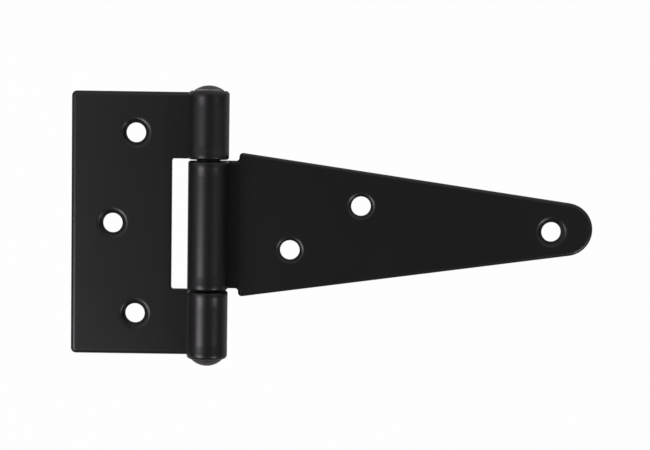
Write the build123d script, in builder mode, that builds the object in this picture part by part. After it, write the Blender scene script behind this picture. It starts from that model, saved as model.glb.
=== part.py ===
"""Tee hinge: a rectangular frame leaf and a long tapered strap leaf that turn on a riveted pin.

The hinge lies open and flat on its back. +X runs along the strap, +Y along the pin and +Z out of the
front. The origin is on the back plane, under the middle of the pin. All sizes are in millimetres.
"""

import math
import os

from build123d import *

# Sheet, pin and rolled barrel
sheet_thickness = 2.2
pin_diameter = 6.2
pin_clearance = 0.05  # radial, between the pin and every knuckle
seam_gap = 0.1  # between the end of a rolled knuckle and the front of its own leaf
running_chamfer = 0.4  # knuckle ends that face each other, and the back edges that run into them

# Peened pin heads
upper_head_overhang = 0.7  # how far the upper head reaches past the knuckle bore, all round
lower_head_overhang = 1.0
head_side = 0.15  # straight side under the dome
upper_dome_rise = 1.25
lower_dome_rise = 1.8

# Frame leaf
frame_height = 69.7  # along the pin
frame_reach = 36.5  # from the pin's axis to the outer edge
frame_corner_radius = 1.35
frame_front_round = 1.2
frame_back_round = 0.8
knuckle_overhang = 0.4  # outer ends of the knuckles, past the top and bottom edges
knuckle_end_round = 1.0  # outer ends of the knuckles
window_height = 34.6
window_gap = 4.55  # from the barrel to the far edge of the window
window_corner_radius = 0.6
window_front_round = 0.4
frame_pair_inset = 17.0  # outer pair of holes, from the outer edge
frame_pair_margin = 10.85  # outer pair of holes, from the top and bottom edges
frame_middle_inset = 10.95  # middle hole, from the outer edge

# Strap leaf
strap_reach = 101.6  # from the pin's axis to the tip
strap_tip_radius = 7.05
strap_front_round = 0.9
shoulder_step = 2.24  # how far each shoulder stands out past the neck
shoulder_gap = 2.5  # from the barrel to the shoulders
shoulder_corner_radius = 1.0
neck_corner_radius = 0.8
axial_play = 0.7  # free length of the strap's knuckle between the other two
lower_gap = 0.3  # share of that play left at the lower end
strap_near_hole_inset = 13.65  # along the strap, from the shoulders
strap_near_hole_offset = -6.5  # across the strap, from its centre line
strap_far_hole_inset = 32.35
strap_far_hole_offset = 5.4
strap_tip_hole_inset = 10.85  # along the strap, from the tip
strap_tip_hole_offset = -0.7

# Countersunk screw holes
screw_hole_diameter = 5.2
countersink_diameter = 7.5
root_countersink_diameter = 6.8  # the two holes near the root of the strap
countersink_angle = 90
countersink_lip = 0.3  # broken edge between a countersink and the front

# Derived sizes
pin_radius = pin_diameter / 2
bore_radius = pin_radius + pin_clearance
knuckle_radius = bore_radius + sheet_thickness
pin_axis = Axis((0, 0, knuckle_radius), (0, 1, 0))
curl_sweep = 360 - math.degrees(math.acos((bore_radius - seam_gap) / knuckle_radius))

knuckle_length = (frame_height - window_height) / 2 + knuckle_overhang
knuckle_end = frame_height / 2 + knuckle_overhang
window_reach = knuckle_radius + window_gap
frame_pair_x = frame_pair_inset - frame_reach
frame_pair_y = frame_height / 2 - frame_pair_margin
frame_middle_x = frame_middle_inset - frame_reach

neck_height = window_height - axial_play
root_height = neck_height + 2 * shoulder_step
shoulder_x = knuckle_radius + shoulder_gap
strap_centre_y = lower_gap - axial_play / 2
tip_centre_x = strap_reach - strap_tip_radius
strap_root_holes = [
    (shoulder_x + strap_near_hole_inset, strap_near_hole_offset),
    (shoulder_x + strap_far_hole_inset, strap_far_hole_offset),
]
strap_tip_hole = (strap_reach - strap_tip_hole_inset, strap_tip_hole_offset)

screw_hole_radius = screw_hole_diameter / 2
countersink_radius = countersink_diameter / 2
root_countersink_radius = max(root_countersink_diameter, screw_hole_diameter + countersink_lip) / 2
lip_angle = (180 + countersink_angle) / 2

# Rounded edges stay within the sheet, and within the corners, steps and sides that they run round
sheet_share = 0.47
front_share = 0.56
back_share = 0.38
corner_share = 0.9
step_share = 0.45
sheet_edge_limit = sheet_share * sheet_thickness
frame_corner_limit = corner_share * frame_corner_radius
frame_front_radius = min(frame_front_round, front_share * sheet_thickness, frame_corner_limit)
window_front_radius = min(window_front_round, front_share * sheet_thickness)
frame_back_radius = min(frame_back_round, back_share * sheet_thickness, frame_corner_limit)
knuckle_end_radius = min(knuckle_end_round, sheet_edge_limit)
edge_break = min(running_chamfer, sheet_edge_limit)
shoulder_fillet = min(shoulder_corner_radius, step_share * shoulder_step)
neck_fillet = min(neck_corner_radius, step_share * shoulder_step)
strap_front_radius = min(strap_front_round, sheet_edge_limit, corner_share * shoulder_fillet)

on_axis = 0.001  # edges nearer than this to the pin's plane are where sheet and knuckle join


def is_rim(edge, radius):
    """True for a circular edge of the given radius."""
    return edge.geom_type == GeomType.CIRCLE and math.isclose(edge.radius, radius, abs_tol=1e-4)


def on_plate(edge):
    """True for an edge on the frame leaf's side of the pin."""
    return edge.center().X < -on_axis


def beside_window(edge):
    """True for an edge of the frame leaf's window, or of a knuckle end that faces into it."""
    middle = edge.center()
    return middle.X > -window_reach - on_axis and abs(middle.Y) < (window_height + knuckle_length) / 2


def screw_hole(sink_radius):
    """Countersunk screw hole with a broken edge, at every location in force."""
    CounterSinkHole(screw_hole_radius, sink_radius, counter_sink_angle=countersink_angle)
    CounterSinkHole(screw_hole_radius, sink_radius + countersink_lip, counter_sink_angle=lip_angle)


def curl_section(plane, direction):
    """Section of a rolled knuckle: the sheet leaves the back plane, goes round the pin and comes back
    to the front of its own leaf. Direction 1 rolls a leaf on the -X side, and -1 one on the +X side."""
    centre = (0, knuckle_radius)
    with BuildSketch(plane) as section:
        with BuildLine():
            outer = CenterArc(centre, knuckle_radius, -90, direction * curl_sweep)
            inner = CenterArc(centre, bore_radius, -90, direction * curl_sweep)
            Line(outer @ 0, inner @ 0)
            Line(outer @ 1, inner @ 1)
        make_face()
    return section.sketch


# Knuckle of the frame leaf, with its outer end rounded
with BuildPart() as frame_knuckle:
    extrude(curl_section(Plane.XZ.offset(-knuckle_end), 1), amount=knuckle_length)
    outer_rim = frame_knuckle.edges().filter_by(lambda edge: is_rim(edge, knuckle_radius)).sort_by(Axis.Y)[-1]
    fillet(outer_rim, knuckle_end_radius)

# Frame leaf: plate with its window and rounded edges, then the two knuckles, the broken edges round the
# window and the screw holes
with BuildPart() as frame_leaf:
    with BuildSketch() as frame_outline:
        with Locations((-frame_reach / 2, 0)):
            Rectangle(frame_reach, frame_height)
        fillet(frame_outline.vertices().group_by(Axis.X)[0], frame_corner_radius)
        with Locations((-window_reach / 2, 0)):
            Rectangle(window_reach, window_height, mode=Mode.SUBTRACT)
        window_corners = frame_outline.vertices().filter_by_position(
            Axis.X, -window_reach - on_axis, -window_reach + on_axis
        )
        fillet(window_corners, window_corner_radius)
    extrude(amount=sheet_thickness)
    frame_front_edges = frame_leaf.edges().group_by(Axis.Z)[-1].filter_by(on_plate)
    fillet(frame_front_edges.filter_by(lambda edge: not beside_window(edge)), frame_front_radius)
    window_front_edges = frame_leaf.edges().group_by(Axis.Z)[-1].filter_by(on_plate)
    fillet(window_front_edges.filter_by(beside_window), window_front_radius)
    frame_back_edges = frame_leaf.edges().group_by(Axis.Z)[0].filter_by(on_plate)
    fillet(frame_back_edges.filter_by(lambda edge: not beside_window(edge)), frame_back_radius)

    add(frame_knuckle.part)
    mirror(frame_knuckle.part, about=Plane.XZ)
    window_back_edges = frame_leaf.edges().group_by(Axis.Z)[0].filter_by(on_plate)
    window_rims = frame_leaf.edges().filter_by(lambda edge: is_rim(edge, knuckle_radius))
    chamfer((window_back_edges + window_rims).filter_by(beside_window), edge_break)

    with Locations(
        (frame_pair_x, frame_pair_y, sheet_thickness),
        (frame_pair_x, -frame_pair_y, sheet_thickness),
        (frame_middle_x, 0, sheet_thickness),
    ):
        screw_hole(countersink_radius)

# Strap leaf: neck, shoulders and tapered plate, then its knuckle, the rounded back and the screw holes
root_bearing = math.atan2(root_height / 2, shoulder_x - tip_centre_x)
root_distance = math.hypot(root_height / 2, shoulder_x - tip_centre_x)
tip_angle = root_bearing - math.acos(strap_tip_radius / root_distance)
taper_end_x = tip_centre_x + strap_tip_radius * math.cos(tip_angle)
taper_end_y = strap_tip_radius * math.sin(tip_angle)
strap_plane = Plane((0, strap_centre_y, 0))

with BuildPart() as strap_leaf:
    with BuildSketch(strap_plane) as strap_outline:
        with BuildLine():
            upper = FilletPolyline(
                (0, neck_height / 2),
                (shoulder_x, neck_height / 2),
                (shoulder_x, root_height / 2),
                (taper_end_x, taper_end_y),
                radius=(neck_fillet, shoulder_fillet),
            )
            ThreePointArc((taper_end_x, taper_end_y), (strap_reach, 0), (taper_end_x, -taper_end_y))
            mirror(upper, about=Plane.XZ)
            Line((0, neck_height / 2), (0, -neck_height / 2))
        make_face()
    extrude(amount=sheet_thickness)
    strap_front_edges = strap_leaf.edges().group_by(Axis.Z)[-1]
    fillet(strap_front_edges.filter_by(lambda edge: edge.center().X > on_axis), strap_front_radius)

    extrude(curl_section(Plane.XZ.offset(-strap_centre_y - neck_height / 2), -1), amount=neck_height)
    strap_back_edges = strap_leaf.edges().group_by(Axis.Z)[0]
    strap_rims = strap_leaf.edges().filter_by(lambda edge: is_rim(edge, knuckle_radius))
    chamfer(strap_back_edges.filter_by(lambda edge: edge.center().X > on_axis) + strap_rims, edge_break)

    strap_front = Plane((0, strap_centre_y, sheet_thickness))
    with Locations(*[strap_front * Pos(*hole) for hole in strap_root_holes]):
        screw_hole(root_countersink_radius)
    with Locations(strap_front * Pos(*strap_tip_hole)):
        screw_hole(countersink_radius)

# Hinge pin: plain shank with a low peened dome seated on the outer end of each frame knuckle
upper_head_radius = bore_radius + upper_head_overhang
lower_head_radius = bore_radius + lower_head_overhang
head_edge = knuckle_end + head_side
upper_apex = (0, head_edge + upper_dome_rise)
lower_apex = (0, -head_edge - lower_dome_rise)

with BuildPart() as hinge_pin:
    with BuildSketch(Plane.XY.offset(knuckle_radius)) as pin_profile:
        with BuildLine():
            side = Polyline(
                (lower_head_radius, -head_edge),
                (lower_head_radius, -knuckle_end),
                (pin_radius, -knuckle_end),
                (pin_radius, knuckle_end),
                (upper_head_radius, knuckle_end),
                (upper_head_radius, head_edge),
            )
            TangentArc(upper_apex, side @ 1, tangent=(1, 0))
            TangentArc(lower_apex, side @ 0, tangent=(1, 0))
            Line(lower_apex, upper_apex)
        make_face()
    revolve(axis=pin_axis)

frame_leaf.part.label = "frame_leaf"
strap_leaf.part.label = "strap_leaf"
hinge_pin.part.label = "hinge_pin"

os.makedirs("parts", exist_ok=True)
export_step(frame_leaf.part, "parts/frame_leaf.step")
export_step(strap_leaf.part, "parts/strap_leaf.step")
export_step(hinge_pin.part, "parts/hinge_pin.step")
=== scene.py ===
"""Looks of the tee hinge: satin powder coat on both leaves, the peened pin, and the studio stage.

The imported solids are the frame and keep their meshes. This file gives them their finish, rounds how
their fine edges catch the light, and sets floor, lamps and camera. Lengths are in metres.
"""

import math

import bpy
from mathutils import Matrix, Vector


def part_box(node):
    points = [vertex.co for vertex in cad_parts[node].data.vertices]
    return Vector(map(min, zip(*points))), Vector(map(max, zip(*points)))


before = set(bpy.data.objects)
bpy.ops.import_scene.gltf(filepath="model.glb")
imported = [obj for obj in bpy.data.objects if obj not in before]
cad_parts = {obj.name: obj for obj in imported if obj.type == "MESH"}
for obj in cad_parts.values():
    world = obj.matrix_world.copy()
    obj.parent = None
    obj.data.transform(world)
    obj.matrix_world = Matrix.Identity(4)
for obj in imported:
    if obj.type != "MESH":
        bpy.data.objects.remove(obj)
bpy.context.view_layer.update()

bl_info = {
    "name": "Tee hinge",
    "version": (1, 0, 0),
    "blender": (4, 5, 0),
    "location": "View3D > Sidebar > Tee hinge",
    "description": "Finishes, floor, lamps and camera of a powder coated tee hinge",
    "category": "Object",
}

LEAVES = ("frame_leaf", "strap_leaf")
PIN = "hinge_pin"
PIN_HEIGHT = (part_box(PIN)[0][2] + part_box(PIN)[1][2]) / 2

# Where the knuckles end along Y, alike on both sides of the middle.
OUTER_KNUCKLE_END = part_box("frame_leaf")[1][1]
INNER_KNUCKLE_END = 0.0171

# Heights between which the spread of the knuckle ends fades in, from the leaves up to the barrel.
BARREL_FOOT = 0.0025
BARREL_MIDDLE = 0.0055

# How steeply the spread and the bead rise towards a knuckle's end.
FLARE_POWER = 1.5
BEAD_POWER = 2.0

# Noise of a coat: slow waves, finer ripples on them, and clouds with so many features to a metre.
WAVE_SEED = 1.7
RIPPLE_SEED = 4.1
RIPPLE_RATIO = 3.7
RIPPLE_SHARE = 0.25
CLOUD_SEED = 9.3
CLOUD_SCALE = 55.0

# Heights of the pin's dents between which the ring of painted highlight at the foot of the upper head comes
# through in patches.
PATCH_START = 0.3
PATCH_FULL = 0.8

BEVEL_SAMPLES = 6
FLOOR_ROUGHNESS = 0.8
SENSOR_WIDTH = 36.0
WHITE = (1.0, 1.0, 1.0, 1.0)


class CoatSettings(bpy.types.PropertyGroup):
    """Finish of the two leaves."""

    colour: bpy.props.FloatVectorProperty(
        name="Coat colour",
        description="Body colour of the powder coat",
        subtype="COLOR",
        size=3,
        min=0.0,
        max=1.0,
        default=(0.0036, 0.0034, 0.0035),
    )
    thin_colour: bpy.props.FloatVectorProperty(
        name="Thin coat colour",
        description="Colour where the coat draws thin along an edge",
        subtype="COLOR",
        size=3,
        min=0.0,
        max=1.0,
        default=(0.0065, 0.0062, 0.0063),
    )
    roughness: bpy.props.FloatProperty(
        name="Coat roughness",
        description="Middle roughness of the satin surface",
        subtype="FACTOR",
        min=0.0,
        max=1.0,
        default=0.36,
    )
    cloudiness: bpy.props.FloatProperty(
        name="Coat cloudiness",
        description="How far the roughness of the coat strays to either side of its middle",
        subtype="FACTOR",
        min=0.0,
        max=1.0,
        default=0.03,
    )
    peel_size: bpy.props.FloatProperty(
        name="Peel size",
        description="Spacing of the slight waviness of the coat",
        unit="LENGTH",
        min=0.0001,
        default=0.0016,
    )
    peel_height: bpy.props.FloatProperty(
        name="Peel height",
        description="Height of that waviness",
        unit="LENGTH",
        min=0.0,
        default=0.000006,
    )
    edge_round: bpy.props.FloatProperty(
        name="Edge rounding",
        description="Width over which the coat flows round a fine edge",
        unit="LENGTH",
        min=0.0,
        default=0.0004,
    )
    flare_height: bpy.props.FloatProperty(
        name="Knuckle flare",
        description="How far the end of a rolled knuckle spreads outwards",
        unit="LENGTH",
        min=0.0,
        default=0.00044,
    )
    flare_length: bpy.props.FloatProperty(
        name="Flare length",
        description="Length of a knuckle over which that spread dies out",
        unit="LENGTH",
        min=0.0001,
        default=0.0042,
    )
    bead_fall: bpy.props.FloatProperty(
        name="Bead fall",
        description="How far the bead of coat at a knuckle's end falls away to the end itself",
        unit="LENGTH",
        min=0.0,
        default=0.00042,
    )
    bead_width: bpy.props.FloatProperty(
        name="Bead width",
        description="Width of that bead",
        unit="LENGTH",
        min=0.0001,
        default=0.00185,
    )


class PinSettings(bpy.types.PropertyGroup):
    """Finish of the pin and its peened heads."""

    colour: bpy.props.FloatVectorProperty(
        name="Pin colour",
        description="Body colour of the thin coat on the pin",
        subtype="COLOR",
        size=3,
        min=0.0,
        max=1.0,
        default=(0.028, 0.0245, 0.021),
    )
    # Painted highlight: the pale colour of the ring at the foot of the upper head, where its rim catches the
    # light.
    painted_highlight_colour: bpy.props.FloatVectorProperty(
        name="Painted highlight colour",
        description="Colour of the ring of painted highlight at the foot of the upper head",
        subtype="COLOR",
        size=3,
        min=0.0,
        max=1.0,
        default=(0.36, 0.34, 0.315),
    )
    roughness: bpy.props.FloatProperty(
        name="Pin roughness",
        description="Middle roughness of the pin",
        subtype="FACTOR",
        min=0.0,
        max=1.0,
        default=0.4,
    )
    cloudiness: bpy.props.FloatProperty(
        name="Pin cloudiness",
        description="How far the roughness of the pin strays to either side of its middle",
        subtype="FACTOR",
        min=0.0,
        max=1.0,
        default=0.05,
    )
    ring_radius: bpy.props.FloatProperty(
        name="Ring radius",
        description="Radius at which the ring of painted highlight begins",
        unit="LENGTH",
        default=0.0035,
    )
    ring_blur: bpy.props.FloatProperty(
        name="Ring blur",
        description="Distance to either side of that radius over which the ring fades in",
        unit="LENGTH",
        default=0.0002,
    )
    dent_size: bpy.props.FloatProperty(
        name="Dent size",
        description="Spacing of the shallow dents that peening leaves",
        unit="LENGTH",
        min=0.0001,
        default=0.0022,
    )
    dent_height: bpy.props.FloatProperty(
        name="Dent depth",
        description="Depth of those dents",
        unit="LENGTH",
        min=0.0,
        default=0.00002,
    )


class StageSettings(bpy.types.PropertyGroup):
    """Floor, lamps and camera."""

    floor_colour: bpy.props.FloatVectorProperty(
        name="Floor colour",
        description="Colour of the plain floor",
        subtype="COLOR",
        size=3,
        min=0.0,
        max=1.0,
        default=(0.6, 0.6, 0.6),
    )
    floor_width: bpy.props.FloatProperty(
        name="Floor width",
        description="Side of the square floor",
        unit="LENGTH",
        default=6.0,
    )
    floor_drop: bpy.props.FloatProperty(
        name="Floor drop",
        description="How far the floor lies below the back of the leaves, so that the strap can swing down",
        unit="LENGTH",
        min=0.0001,
        default=0.115,
    )
    floor_white: bpy.props.FloatProperty(
        name="Floor white",
        description="Share of plain white in what the camera sees of the floor",
        subtype="FACTOR",
        min=0.0,
        max=1.0,
        default=0.98,
    )
    reflected_white: bpy.props.FloatProperty(
        name="Reflected white",
        description="Share of plain white in what the coat reflects of the floor and the surround",
        subtype="FACTOR",
        min=0.0,
        max=1.0,
        default=0.12,
    )
    surround: bpy.props.FloatProperty(
        name="Surround",
        description="Brightness of the room around the stage",
        min=0.0,
        default=0.12,
    )
    near_left_power: bpy.props.FloatProperty(
        name="Near left lamp",
        description="Soft lamp on the frame leaf's side, towards -Y",
        unit="POWER",
        default=0.72,
    )
    far_left_power: bpy.props.FloatProperty(
        name="Far left lamp",
        description="Soft lamp on the frame leaf's side, towards +Y",
        unit="POWER",
        default=0.168,
    )
    near_right_power: bpy.props.FloatProperty(
        name="Near right lamp",
        description="Soft lamp on the strap's side, towards -Y",
        unit="POWER",
        default=0.934,
    )
    far_right_power: bpy.props.FloatProperty(
        name="Far right lamp",
        description="Soft lamp on the strap's side, towards +Y",
        unit="POWER",
        default=0.241,
    )
    left_colour: bpy.props.FloatVectorProperty(
        name="Left lamp colour",
        description="Colour of the lamps on the frame leaf's side",
        subtype="COLOR",
        size=3,
        min=0.0,
        max=1.0,
        default=(0.99, 0.925, 1.0),
    )
    right_colour: bpy.props.FloatVectorProperty(
        name="Right lamp colour",
        description="Colour of the lamps on the strap's side",
        subtype="COLOR",
        size=3,
        min=0.0,
        max=1.0,
        default=(1.0, 0.975, 0.94),
    )
    camera_distance: bpy.props.FloatProperty(
        name="Camera distance",
        description="From the camera to the point it looks at",
        unit="LENGTH",
        default=0.475,
    )
    camera_target: bpy.props.FloatVectorProperty(
        name="Camera target",
        description="Point that the camera looks at",
        subtype="TRANSLATION",
        size=3,
        default=(0.03074, 0.00029, 0.0022),
    )
    camera_tilt: bpy.props.FloatProperty(
        name="Camera tilt",
        description="Lean of the camera from straight above towards +Y",
        subtype="ANGLE",
        default=math.radians(4.1),
    )
    camera_roll: bpy.props.FloatProperty(
        name="Camera roll",
        description="Turn of the camera about its own axis",
        subtype="ANGLE",
        default=math.radians(-0.85),
    )
    width_share: bpy.props.FloatProperty(
        name="View width",
        description="Width of the view at the target, as a share of the distance",
        default=0.362,
    )


def new_group(name, inputs, outputs):
    """A shader node group with float sockets, and its input and output nodes."""
    group = bpy.data.node_groups.new(name, "ShaderNodeTree")
    for label, default in inputs:
        socket = group.interface.new_socket(name=label, in_out="INPUT", socket_type="NodeSocketFloat")
        socket.default_value = default
    for label in outputs:
        group.interface.new_socket(name=label, in_out="OUTPUT", socket_type="NodeSocketFloat")
    return group, group.nodes.new("NodeGroupInput"), group.nodes.new("NodeGroupOutput")


def math_node(tree, operation, first, second=0.0, clamp=False):
    """Output of a maths node, whose inputs are sockets or numbers."""
    node = tree.nodes.new("ShaderNodeMath")
    node.operation = operation
    node.use_clamp = clamp
    for socket, value in zip(node.inputs, (first, second)):
        if isinstance(value, (int, float)):
            socket.default_value = value
        else:
            tree.links.new(value, socket)
    return node.outputs["Value"]


def noise_node(tree, vector, scale, detail, seed):
    """Noise over the object's own coordinates, at a scale given by a socket or a number."""
    node = tree.nodes.new("ShaderNodeTexNoise")
    node.noise_dimensions = "4D"
    node.inputs["W"].default_value = seed
    node.inputs["Detail"].default_value = detail
    tree.links.new(vector, node.inputs["Vector"])
    if isinstance(scale, (int, float)):
        node.inputs["Scale"].default_value = scale
    else:
        tree.links.new(scale, node.inputs["Scale"])
    return node.outputs["Fac"]


def coat_skin_group():
    """Surface of a baked coat: its slight waviness as a height, and its cloudiness as a mask."""
    group, given, result = new_group("coat_skin", (("Feature size", 0.0016),), ("Height", "Cloud"))
    place = group.nodes.new("ShaderNodeTexCoord").outputs["Object"]
    scale = math_node(group, "DIVIDE", 1.0, given.outputs["Feature size"])
    waves = noise_node(group, place, scale, detail=1.0, seed=WAVE_SEED)
    fine_scale = math_node(group, "MULTIPLY", scale, RIPPLE_RATIO)
    ripples = noise_node(group, place, fine_scale, detail=2.0, seed=RIPPLE_SEED)
    height = math_node(group, "ADD", waves, math_node(group, "MULTIPLY", ripples, RIPPLE_SHARE))
    cloud = noise_node(group, place, CLOUD_SCALE, detail=3.0, seed=CLOUD_SEED)
    group.links.new(height, result.inputs["Height"])
    group.links.new(cloud, result.inputs["Cloud"])
    return group


def edge_film_group():
    """Mask of the outer edges, where a coat draws thin."""
    group, given, result = new_group("edge_film", (("Width", 0.0005), ("Softness", 0.35)), ("Edge",))
    bevel = group.nodes.new("ShaderNodeBevel")
    bevel.samples = BEVEL_SAMPLES
    group.links.new(given.outputs["Width"], bevel.inputs["Radius"])
    flat = group.nodes.new("ShaderNodeNewGeometry").outputs["Normal"]
    agree = group.nodes.new("ShaderNodeVectorMath")
    agree.operation = "DOT_PRODUCT"
    group.links.new(bevel.outputs["Normal"], agree.inputs[0])
    group.links.new(flat, agree.inputs[1])
    turned = math_node(group, "SUBTRACT", 1.0, agree.outputs["Value"])
    edge = math_node(group, "DIVIDE", turned, given.outputs["Softness"], clamp=True)
    group.links.new(edge, result.inputs["Edge"])
    return group


def shared_group(name, build):
    """The node group of that name, built the first time it is asked for."""
    return bpy.data.node_groups.get(name) or build()


def fresh_material(name):
    """An empty node material with a Principled shader, and its tree and shader."""
    material = bpy.data.materials.new(name)
    material.use_nodes = True
    tree = material.node_tree
    tree.nodes.clear()
    shader = tree.nodes.new("ShaderNodeBsdfPrincipled")
    output = tree.nodes.new("ShaderNodeOutputMaterial")
    tree.links.new(shader.outputs["BSDF"], output.inputs["Surface"])
    return material, tree, shader


def group_node(tree, group, values):
    """A node of a shared group with its own values."""
    node = tree.nodes.new("ShaderNodeGroup")
    node.node_tree = group
    for label, value in values.items():
        node.inputs[label].default_value = value
    return node


def mix_colour(tree, factor, first, second):
    """Mix of two colours by a mask."""
    node = tree.nodes.new("ShaderNodeMix")
    node.data_type = "RGBA"
    tree.links.new(factor, node.inputs["Factor"])
    node.inputs["A"].default_value = (*first, 1.0)
    node.inputs["B"].default_value = (*second, 1.0)
    return node.outputs["Result"]


def spread(tree, mask, low, high):
    """A mask from 0 to 1 spread over the given range."""
    node = tree.nodes.new("ShaderNodeMapRange")
    node.inputs["To Min"].default_value = low
    node.inputs["To Max"].default_value = high
    tree.links.new(mask, node.inputs["Value"])
    return node.outputs["Result"]


def smooth_step(tree, value, start, end):
    """Share that goes smoothly from 0 at the start to 1 at the end."""
    node = tree.nodes.new("ShaderNodeMapRange")
    node.interpolation_type = "SMOOTHSTEP"
    node.inputs["From Min"].default_value = start
    node.inputs["From Max"].default_value = end
    tree.links.new(value, node.inputs["Value"])
    return node.outputs["Result"]


def own_place(tree):
    """X, Y and Z of a point in the solid's own coordinates."""
    place = tree.nodes.new("ShaderNodeSeparateXYZ")
    tree.links.new(tree.nodes.new("ShaderNodeTexCoord").outputs["Object"], place.inputs["Vector"])
    return place.outputs


def distance_from(tree, value, mark):
    """Distance of a value from a mark, to either side."""
    return math_node(tree, "ABSOLUTE", math_node(tree, "SUBTRACT", value, mark))


def near_end(tree, from_end, length, power, height):
    """Height that rises over a length towards an end, from nothing to its full value."""
    share = math_node(tree, "SUBTRACT", 1.0, math_node(tree, "DIVIDE", from_end, length), clamp=True)
    return math_node(tree, "MULTIPLY", math_node(tree, "POWER", share, power), height)


def knuckle_end_height(tree, coat):
    """Height of the spread ends of the rolled knuckles and of the bead of coat that closes them."""
    place = own_place(tree)
    along = math_node(tree, "ABSOLUTE", place["Y"])
    from_outer = distance_from(tree, along, OUTER_KNUCKLE_END)
    from_inner = distance_from(tree, along, INNER_KNUCKLE_END)
    from_end = math_node(tree, "MINIMUM", from_outer, from_inner)
    flare = near_end(tree, from_end, coat.flare_length, FLARE_POWER, coat.flare_height)
    fall = near_end(tree, from_end, coat.bead_width, BEAD_POWER, coat.bead_fall)
    on_barrel = smooth_step(tree, place["Z"], BARREL_FOOT, BARREL_MIDDLE)
    return math_node(tree, "MULTIPLY", math_node(tree, "SUBTRACT", flare, fall), on_barrel)


def painted_highlight_ring(tree, pin):
    """Mask of the ring at the foot of the upper head, where a highlight is painted into the pin's colour."""
    place = own_place(tree)
    aside = math_node(tree, "POWER", place["X"], 2.0)
    ahead = math_node(tree, "POWER", math_node(tree, "SUBTRACT", place["Z"], PIN_HEIGHT), 2.0)
    from_axis = math_node(tree, "SQRT", math_node(tree, "ADD", aside, ahead))
    foot = smooth_step(tree, from_axis, pin.ring_radius - pin.ring_blur, pin.ring_radius + pin.ring_blur)
    return math_node(tree, "MULTIPLY", foot, math_node(tree, "GREATER_THAN", place["Y"], 0.0))


def rounded_bump(tree, shader, height, edge_round):
    """Bump of a height in metres over normals that run smoothly round fine edges."""
    bevel = tree.nodes.new("ShaderNodeBevel")
    bevel.samples = BEVEL_SAMPLES
    bevel.inputs["Radius"].default_value = edge_round
    bump = tree.nodes.new("ShaderNodeBump")
    bump.inputs["Distance"].default_value = 1.0
    tree.links.new(height, bump.inputs["Height"])
    tree.links.new(bevel.outputs["Normal"], bump.inputs["Normal"])
    tree.links.new(bump.outputs["Normal"], shader.inputs["Normal"])


def cloudy_roughness(tree, shader, skin, finish):
    """Roughness that strays to either side of its middle with the cloudiness of the coat."""
    smoothest = finish.roughness - finish.cloudiness
    roughest = finish.roughness + finish.cloudiness
    tree.links.new(spread(tree, skin.outputs["Cloud"], smoothest, roughest), shader.inputs["Roughness"])


def coat_node(node_name, material):
    """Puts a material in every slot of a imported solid."""
    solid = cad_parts[node_name]
    for slot in solid.material_slots:
        slot.material = material


class HINGE_OT_coat_leaves(bpy.types.Operator):
    """Give both leaves their satin powder coat"""

    bl_idname = "hinge.coat_leaves"
    bl_label = "Coat the leaves"

    def execute(self, context):
        coat = context.scene.hinge_coat
        material, tree, shader = fresh_material("leaf_powder_coat")
        skin = group_node(tree, shared_group("coat_skin", coat_skin_group), {"Feature size": coat.peel_size})
        film = group_node(tree, shared_group("edge_film", edge_film_group), {})
        colour = mix_colour(tree, film.outputs["Edge"], coat.colour, coat.thin_colour)
        tree.links.new(colour, shader.inputs["Base Color"])
        cloudy_roughness(tree, shader, skin, coat)
        peel = math_node(tree, "MULTIPLY", skin.outputs["Height"], coat.peel_height)
        ends = knuckle_end_height(tree, coat)
        rounded_bump(tree, shader, math_node(tree, "ADD", peel, ends), coat.edge_round)
        for leaf in LEAVES:
            coat_node(leaf, material)
        return {"FINISHED"}


class HINGE_OT_finish_pin(bpy.types.Operator):
    """Give the pin and its peened heads their finish"""

    bl_idname = "hinge.finish_pin"
    bl_label = "Finish the pin"

    def execute(self, context):
        pin = context.scene.hinge_pin
        material, tree, shader = fresh_material("pin_coat")
        skin = group_node(tree, shared_group("coat_skin", coat_skin_group), {"Feature size": pin.dent_size})
        patches = smooth_step(tree, skin.outputs["Height"], PATCH_START, PATCH_FULL)
        # A highlight is painted here as a pale ring at the foot of the upper head, broken into patches by
        # the dents.
        painted_highlight_mask = math_node(tree, "MULTIPLY", painted_highlight_ring(tree, pin), patches)
        colour = mix_colour(tree, painted_highlight_mask, pin.colour, pin.painted_highlight_colour)
        tree.links.new(colour, shader.inputs["Base Color"])
        cloudy_roughness(tree, shader, skin, pin)
        dents = math_node(tree, "MULTIPLY", skin.outputs["Height"], pin.dent_height)
        rounded_bump(tree, shader, dents, context.scene.hinge_coat.edge_round)
        coat_node(PIN, material)
        return {"FINISHED"}


def soft_lamp(name, swing, lean, distance, width, height, power, colour):
    """A rectangular lamp that faces the middle of the hinge, with its height along Y.

    From straight above, swing turns it towards +X and lean towards +Y, both in degrees.
    """
    swing = math.radians(swing)
    lean = math.radians(lean)
    lamp = bpy.data.lights.new(name, "AREA")
    lamp.shape = "RECTANGLE"
    lamp.size = width
    lamp.size_y = height
    lamp.energy = power
    lamp.color = colour
    lamp_object = bpy.data.objects.new(name, lamp)
    away = Vector((math.sin(swing) * math.cos(lean), math.sin(lean), math.cos(swing) * math.cos(lean)))
    across = Vector((0.0, 1.0, 0.0)).cross(away).normalized()
    along = away.cross(across)
    axes = Matrix((across, along, away)).transposed().to_4x4()
    lamp_object.matrix_world = Matrix.Translation(distance * away) @ axes
    lamp_object.visible_camera = False
    bpy.context.scene.collection.objects.link(lamp_object)


def seen_white(tree, by_camera, by_reflection):
    """Share of plain white that the camera and reflections see of a background."""
    path = tree.nodes.new("ShaderNodeLightPath").outputs
    reflected = math_node(tree, "MAXIMUM", path["Is Glossy Ray"], path["Is Transmission Ray"])
    return math_node(
        tree,
        "MAXIMUM",
        math_node(tree, "MULTIPLY", path["Is Camera Ray"], by_camera),
        math_node(tree, "MULTIPLY", reflected, by_reflection),
    )


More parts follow.
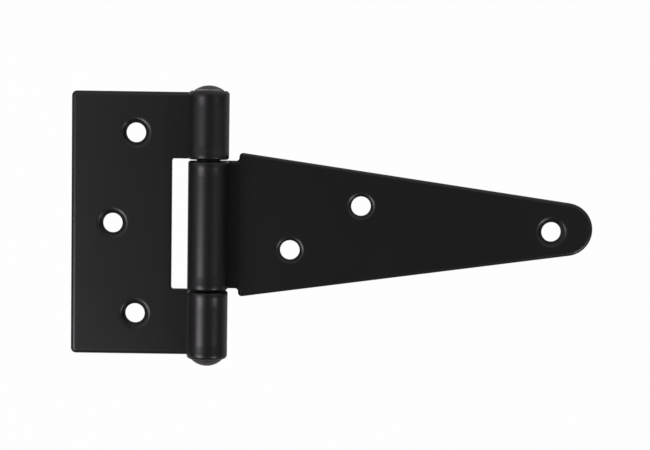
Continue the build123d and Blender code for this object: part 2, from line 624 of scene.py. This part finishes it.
def mix_shader(tree, factor, first, second):
    """Mix of two shaders by a share."""
    node = tree.nodes.new("ShaderNodeMixShader")
    tree.links.new(factor, node.inputs["Fac"])
    tree.links.new(first, node.inputs[1])
    tree.links.new(second, node.inputs[2])
    return node.outputs["Shader"]


def lay_floor(context, stage):
    """A plain floor that looks white from above and is open from below, so that the backs can be seen."""
    bpy.ops.mesh.primitive_plane_add(size=stage.floor_width, location=(0.0, 0.0, -stage.floor_drop))
    floor = context.active_object
    floor.name = "floor"
    material, tree, shader = fresh_material("floor_white")
    shader.inputs["Base Color"].default_value = (*stage.floor_colour, 1.0)
    shader.inputs["Roughness"].default_value = FLOOR_ROUGHNESS
    shader.inputs["Specular IOR Level"].default_value = 0.0
    white = tree.nodes.new("ShaderNodeEmission").outputs["Emission"]
    white_share = seen_white(tree, stage.floor_white, stage.reflected_white)
    top = mix_shader(tree, white_share, shader.outputs["BSDF"], white)
    from_below = tree.nodes.new("ShaderNodeNewGeometry").outputs["Backfacing"]
    clear = tree.nodes.new("ShaderNodeBsdfTransparent").outputs["BSDF"]
    output = next(node for node in tree.nodes if node.type == "OUTPUT_MATERIAL")
    tree.links.new(mix_shader(tree, from_below, top, clear), output.inputs["Surface"])
    floor.data.materials.append(material)


def set_surround(scene, stage):
    """A dim room that the camera sees as white."""
    world = bpy.data.worlds.new("studio")
    world.use_nodes = True
    tree = world.node_tree
    background = next(node for node in tree.nodes if node.type == "BACKGROUND")
    background.inputs["Color"].default_value = WHITE
    white_share = seen_white(tree, 1.0, stage.reflected_white)
    strength = math_node(tree, "MAXIMUM", white_share, stage.surround)
    tree.links.new(strength, background.inputs["Strength"])
    scene.world = world


def hang_lamps(stage):
    """Two soft lamps on either side, whose long reflections run down the barrel."""
    soft_lamp(
        "near_left_lamp", swing=-40.5, lean=-24.0, distance=0.35, width=0.15, height=0.22,
        power=stage.near_left_power, colour=stage.left_colour,
    )
    soft_lamp(
        "far_left_lamp", swing=-49.2, lean=33.0, distance=0.22, width=0.318, height=0.3,
        power=stage.far_left_power, colour=stage.left_colour,
    )
    soft_lamp(
        "near_right_lamp", swing=48.0, lean=-31.0, distance=0.6, width=0.05, height=0.2,
        power=stage.near_right_power, colour=stage.right_colour,
    )
    soft_lamp(
        "far_right_lamp", swing=54.4, lean=50.0, distance=0.24, width=0.315, height=0.5,
        power=stage.far_right_power, colour=stage.right_colour,
    )


def set_camera(scene, stage):
    """A camera above the front of the leaves."""
    camera = bpy.data.cameras.new("camera")
    camera.sensor_width = SENSOR_WIDTH
    camera.lens = camera.sensor_width / stage.width_share
    camera_object = bpy.data.objects.new("camera", camera)
    axes = Matrix.Rotation(stage.camera_roll, 3, "Z") @ Matrix.Rotation(stage.camera_tilt, 3, "X")
    back = Vector(axes[2])
    place = Vector(stage.camera_target) + stage.camera_distance * back
    camera_object.matrix_world = Matrix.Translation(place) @ axes.transposed().to_4x4()
    scene.collection.objects.link(camera_object)
    scene.camera = camera_object


class HINGE_OT_set_stage(bpy.types.Operator):
    """Lay the floor and set the lamps and the camera"""

    bl_idname = "hinge.set_stage"
    bl_label = "Set the stage"

    def execute(self, context):
        scene = context.scene
        stage = scene.hinge_stage
        scene.view_settings.view_transform = "Standard"
        lay_floor(context, stage)
        set_surround(scene, stage)
        hang_lamps(stage)
        set_camera(scene, stage)
        return {"FINISHED"}


class HINGE_PT_panel(bpy.types.Panel):
    """Sidebar panel of the tee hinge"""

    bl_label = "Tee hinge"
    bl_idname = "HINGE_PT_panel"
    bl_space_type = "VIEW_3D"
    bl_region_type = "UI"
    bl_category = "Tee hinge"

    def draw(self, context):
        for group_name, operator in STEPS:
            box = self.layout.box()
            settings = getattr(context.scene, group_name)
            for prop in settings.bl_rna.properties:
                if prop.identifier not in ("rna_type", "name"):
                    box.prop(settings, prop.identifier)
            box.operator(operator.bl_idname)


STEPS = (
    ("hinge_coat", HINGE_OT_coat_leaves),
    ("hinge_pin", HINGE_OT_finish_pin),
    ("hinge_stage", HINGE_OT_set_stage),
)
SETTINGS = (("hinge_coat", CoatSettings), ("hinge_pin", PinSettings), ("hinge_stage", StageSettings))
CLASSES = (
    CoatSettings,
    PinSettings,
    StageSettings,
    HINGE_OT_coat_leaves,
    HINGE_OT_finish_pin,
    HINGE_OT_set_stage,
    HINGE_PT_panel,
)


def register():
    """Register the classes and hang their settings on the scene."""
    for cls in CLASSES:
        bpy.utils.register_class(cls)
    for name, cls in SETTINGS:
        setattr(bpy.types.Scene, name, bpy.props.PointerProperty(type=cls))


def unregister():
    """Take the settings off the scene and the classes out again."""
    for name, _ in SETTINGS:
        delattr(bpy.types.Scene, name)
    for cls in reversed(CLASSES):
        bpy.utils.unregister_class(cls)


def main():
    """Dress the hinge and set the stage."""
    register()
    bpy.ops.hinge.coat_leaves()
    bpy.ops.hinge.finish_pin()
    bpy.ops.hinge.set_stage()


if __name__ == "__main__":
    main()
